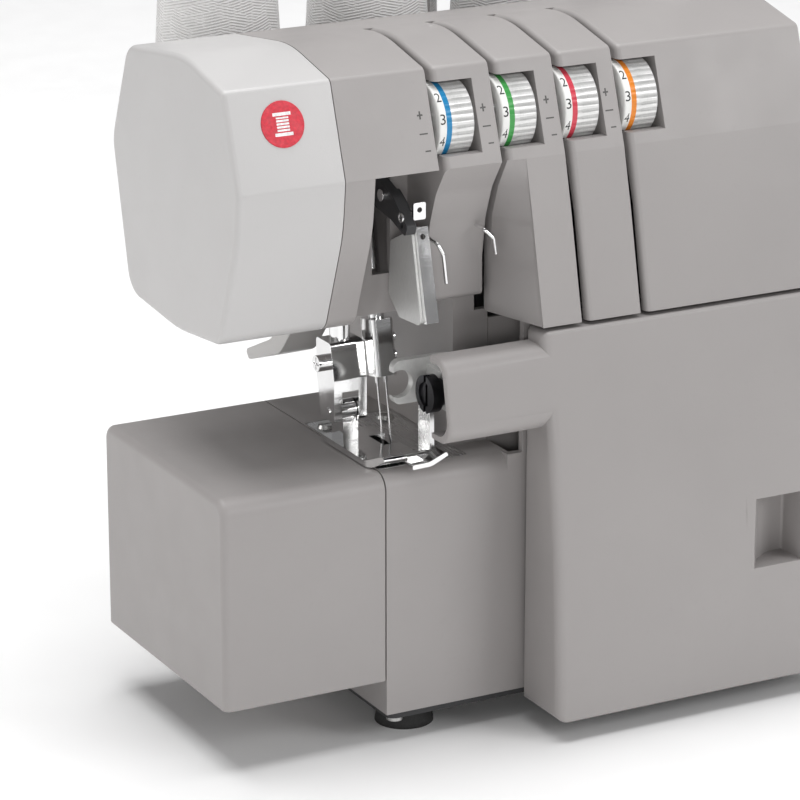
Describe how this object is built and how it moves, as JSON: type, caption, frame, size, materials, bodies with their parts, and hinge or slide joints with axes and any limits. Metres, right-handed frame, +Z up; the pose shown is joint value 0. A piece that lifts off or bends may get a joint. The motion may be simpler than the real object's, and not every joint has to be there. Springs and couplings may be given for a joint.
{
  "type": "overlock sewing machine",
  "caption": "Thread overlock sewing machine with tension dials, hinged looper cover, slip-off bed extension, presser foot, knives, loopers, cone stand and telescopic thread mast.",
  "frame": {"origin": "on the table under the middle of the machine's overall box", "axes": "+Z up, +X towards the handwheel, +Y towards the thread stand, so the operator faces +Y"},
  "size_m": [0.293, 0.198, 0.473],
  "materials": {
    "casing_grey": "satin moulded",
    "face_white": "satin moulded",
    "dark_plastic": "fine texture",
    "rubber": "matte",
    "screw_steel": "turned",
    "chrome": "polished",
    "plate_steel": "ground",
    "silver_metal": "satin",
    "black_steel": "blackened",
    "cast_frame": "as cast",
    "bronze": "sintered",
    "lamp_clear": "frosted",
    "dial_silver": "satin with printed band",
    "light_plastic": "satin moulded",
    "thread_white": "cross wound yarn"
  },
  "bodies": {
    "root": {"face_cover": "face_white", "upper_front_casing": "casing_grey", "rear_casing": "casing_grey", "base_casing": "casing_grey", "bottom_plate": "dark_plastic", "rubber_feet": "rubber", "casing_screws": "screw_steel", "needle_plate": "plate_steel", "lower_knife": "plate_steel", "lower_knife_holder": "plate_steel", "threading_panel": "casing_grey", "machine_frame": "cast_frame", "shaft_bushes": "bronze", "motor": "black_steel", "drive_belt": "dark_plastic", "looper_shafts": "screw_steel", "head_pivot_pins": "screw_steel", "tension_spindles": "chrome", "tension_discs": "chrome", "thread_guard_plate": "silver_metal", "thread_channel_guide": "chrome", "wire_thread_guides": "chrome", "lamp_lens": "lamp_clear", "power_inlet": "dark_plastic", "thread_stand": "light_plastic", "cone_holders": "dark_plastic", "mast_outer_tube": "chrome"},
    "main_drive": {"main_shaft": "screw_steel", "handwheel": "dark_plastic", "shaft_pulley": "screw_steel"},
    "motor_spindle": {"motor_pulley": "screw_steel"},
    "needle_drive": {"needle_bar": "chrome", "needle_clamp": "chrome", "needles": "chrome"},
    "take_up": {"take_up_lever": "dark_plastic"},
    "lower_looper_arm": {"lower_looper": "plate_steel"},
    "upper_looper_arm": {"upper_looper": "plate_steel"},
    "knife_drive": {"upper_knife": "plate_steel", "knife_arm": "silver_metal", "knife_clamp_screw": "black_steel"},
    "main_feed": {"main_feed_dog": "plate_steel"},
    "differential_feed": {"differential_feed_dog": "plate_steel"},
    "presser": {"presser_bar": "chrome", "foot_holder": "chrome"},
    "foot": {"presser_foot": "chrome"},
    "lifter": {"presser_foot_lifter": "light_plastic"},
    "dial_one": {"tension_dial_one": "dial_silver"},
    "dial_two": {"tension_dial_two": "dial_silver"},
    "dial_three": {"tension_dial_three": "dial_silver"},
    "dial_four": {"tension_dial_four": "dial_silver"},
    "cover_carriage": {"cover_hinge_bar": "screw_steel"},
    "cover": {"looper_cover": "casing_grey"},
    "extension": {"extension_table": "casing_grey"},
    "stitch_length": {"stitch_length_dial": "dark_plastic"},
    "feed_ratio": {"differential_feed_dial": "dark_plastic"},
    "switch": {"power_switch": "dark_plastic"},
    "mast_middle": {"mast_middle_tube": "chrome"},
    "mast_top": {"mast_inner_rod": "chrome", "thread_guide_bar": "light_plastic"},
    "cones": {"thread_cones": "thread_white"}
  },
  "joints": [
    {"name": "handwheel_turn", "type": "hinge", "parent": "root", "child": "main_drive", "pos_m": [-0.1395, -0.016, 0.09], "axis": [1, 0, 0], "continuous": true},
    {"name": "motor_turn", "type": "hinge", "parent": "root", "child": "motor_spindle", "pos_m": [-0.1395, -0.006, 0.042], "axis": [1, 0, 0], "continuous": true},
    {"name": "needle_stroke", "type": "slide", "parent": "root", "child": "needle_drive", "axis": [0, 0.1736, 0.9848], "range_m": [-0.006, 0.018]},
    {"name": "take_up_swing", "type": "hinge", "parent": "root", "child": "take_up", "pos_m": [-0.0685, -0.03, 0.214], "axis": [1, 0, 0], "range_deg": [-9.4, 3.2]},
    {"name": "lower_looper_swing", "type": "hinge", "parent": "root", "child": "lower_looper_arm", "pos_m": [-0.0335, -0.037, 0.04], "axis": [0, 1, 0], "range_deg": [-4.1, 1.4]},
    {"name": "upper_looper_swing", "type": "hinge", "parent": "root", "child": "upper_looper_arm", "pos_m": [-0.0495, -0.025, 0.034], "axis": [0, 1, 0], "range_deg": [-1.1, 3.2]},
    {"name": "knife_stroke", "type": "slide", "parent": "root", "child": "knife_drive", "axis": [0, 0, 1], "range_m": [-0.0037, 0.0013]},
    {"name": "main_feed_lift", "type": "slide", "parent": "root", "child": "main_feed", "axis": [0, 0, 1], "range_m": [-0.0005, 0.0015]},
    {"name": "differential_feed_lift", "type": "slide", "parent": "root", "child": "differential_feed", "axis": [0, 0, 1], "range_m": [-0.0005, 0.0015]},
    {"name": "presser_lift", "type": "slide", "parent": "root", "child": "presser", "axis": [0, 0, 1], "range_m": [0, 0.005]},
    {"name": "foot_tilt", "type": "hinge", "parent": "presser", "child": "foot", "pos_m": [-0.0755, -0.026, 0.1225], "axis": [1, 0, 0], "range_deg": [-4, 0.5]},
    {"name": "lifter_turn", "type": "hinge", "parent": "root", "child": "lifter", "pos_m": [-0.0755, -0.0005, 0.1645], "axis": [1, 0, 0], "range_deg": [0, 18.5]},
    {"name": "tension_dial_one_turn", "type": "hinge", "parent": "root", "child": "dial_one", "pos_m": [-0.0495, -0.0497, 0.2385], "axis": [1, 0, 0], "range_deg": [-150, 150]},
    {"name": "tension_dial_two_turn", "type": "hinge", "parent": "root", "child": "dial_two", "pos_m": [-0.0225, -0.0497, 0.2385], "axis": [1, 0, 0], "range_deg": [-150, 150]},
    {"name": "tension_dial_three_turn", "type": "hinge", "parent": "root", "child": "dial_three", "pos_m": [0.0045, -0.0497, 0.2385], "axis": [1, 0, 0], "range_deg": [-150, 150]},
    {"name": "tension_dial_four_turn", "type": "hinge", "parent": "root", "child": "dial_four", "pos_m": [0.0305, -0.0497, 0.2385], "axis": [1, 0, 0], "range_deg": [-150, 150]},
    {"name": "cover_latch_slide", "type": "slide", "parent": "root", "child": "cover_carriage", "axis": [1, 0, 0], "range_m": [0, 0.004]},
    {"name": "cover_hinge", "type": "hinge", "parent": "cover_carriage", "child": "cover", "pos_m": [0.0405, -0.092, 0.016], "axis": [1, 0, 0], "range_deg": [0, 88]},
    {"name": "extension_slide", "type": "slide", "parent": "root", "child": "extension", "axis": [-1, 0, 0], "range_m": [0, 0.12]},
    {"name": "stitch_length_turn", "type": "hinge", "parent": "root", "child": "stitch_length", "pos_m": [0.1105, -0.046, 0.14], "axis": [1, 0, 0], "range_deg": [-120, 120]},
    {"name": "differential_feed_turn", "type": "hinge", "parent": "root", "child": "feed_ratio", "pos_m": [0.1105, -0.052, 0.046], "axis": [1, 0, 0], "range_deg": [-60, 60]},
    {"name": "power_switch_rock", "type": "hinge", "parent": "root", "child": "switch", "pos_m": [0.1035, -0.007, 0.035], "axis": [0, 0, 1], "range_deg": [0, 10]},
    {"name": "mast_middle_slide", "type": "slide", "parent": "root", "child": "mast_middle", "axis": [0, 0, 1], "range_m": [-0.05, 0]},
    {"name": "mast_top_slide", "type": "slide", "parent": "mast_middle", "child": "mast_top", "axis": [0, 0, 1], "range_m": [-0.05, 0]},
    {"name": "cones_lift_off", "type": "slide", "parent": "root", "child": "cones", "axis": [0, 0, 1], "range_m": [0, 0.1]}
  ],
  "couplings": [
    {"joint": "motor_turn", "follows": "handwheel_turn", "ratio": 3.5},
    {"joint": "take_up_swing", "follows": "needle_stroke", "rad_per_m": -9},
    {"joint": "lower_looper_swing", "follows": "needle_stroke", "rad_per_m": -3.9},
    {"joint": "upper_looper_swing", "follows": "needle_stroke", "rad_per_m": 3},
    {"joint": "knife_stroke", "follows": "needle_stroke", "ratio": -0.2},
    {"joint": "main_feed_lift", "follows": "needle_stroke", "ratio": 0.08},
    {"joint": "differential_feed_lift", "follows": "needle_stroke", "ratio": 0.08},
    {"joint": "lifter_turn", "follows": "presser_lift", "rad_per_m": 64}
  ]
}
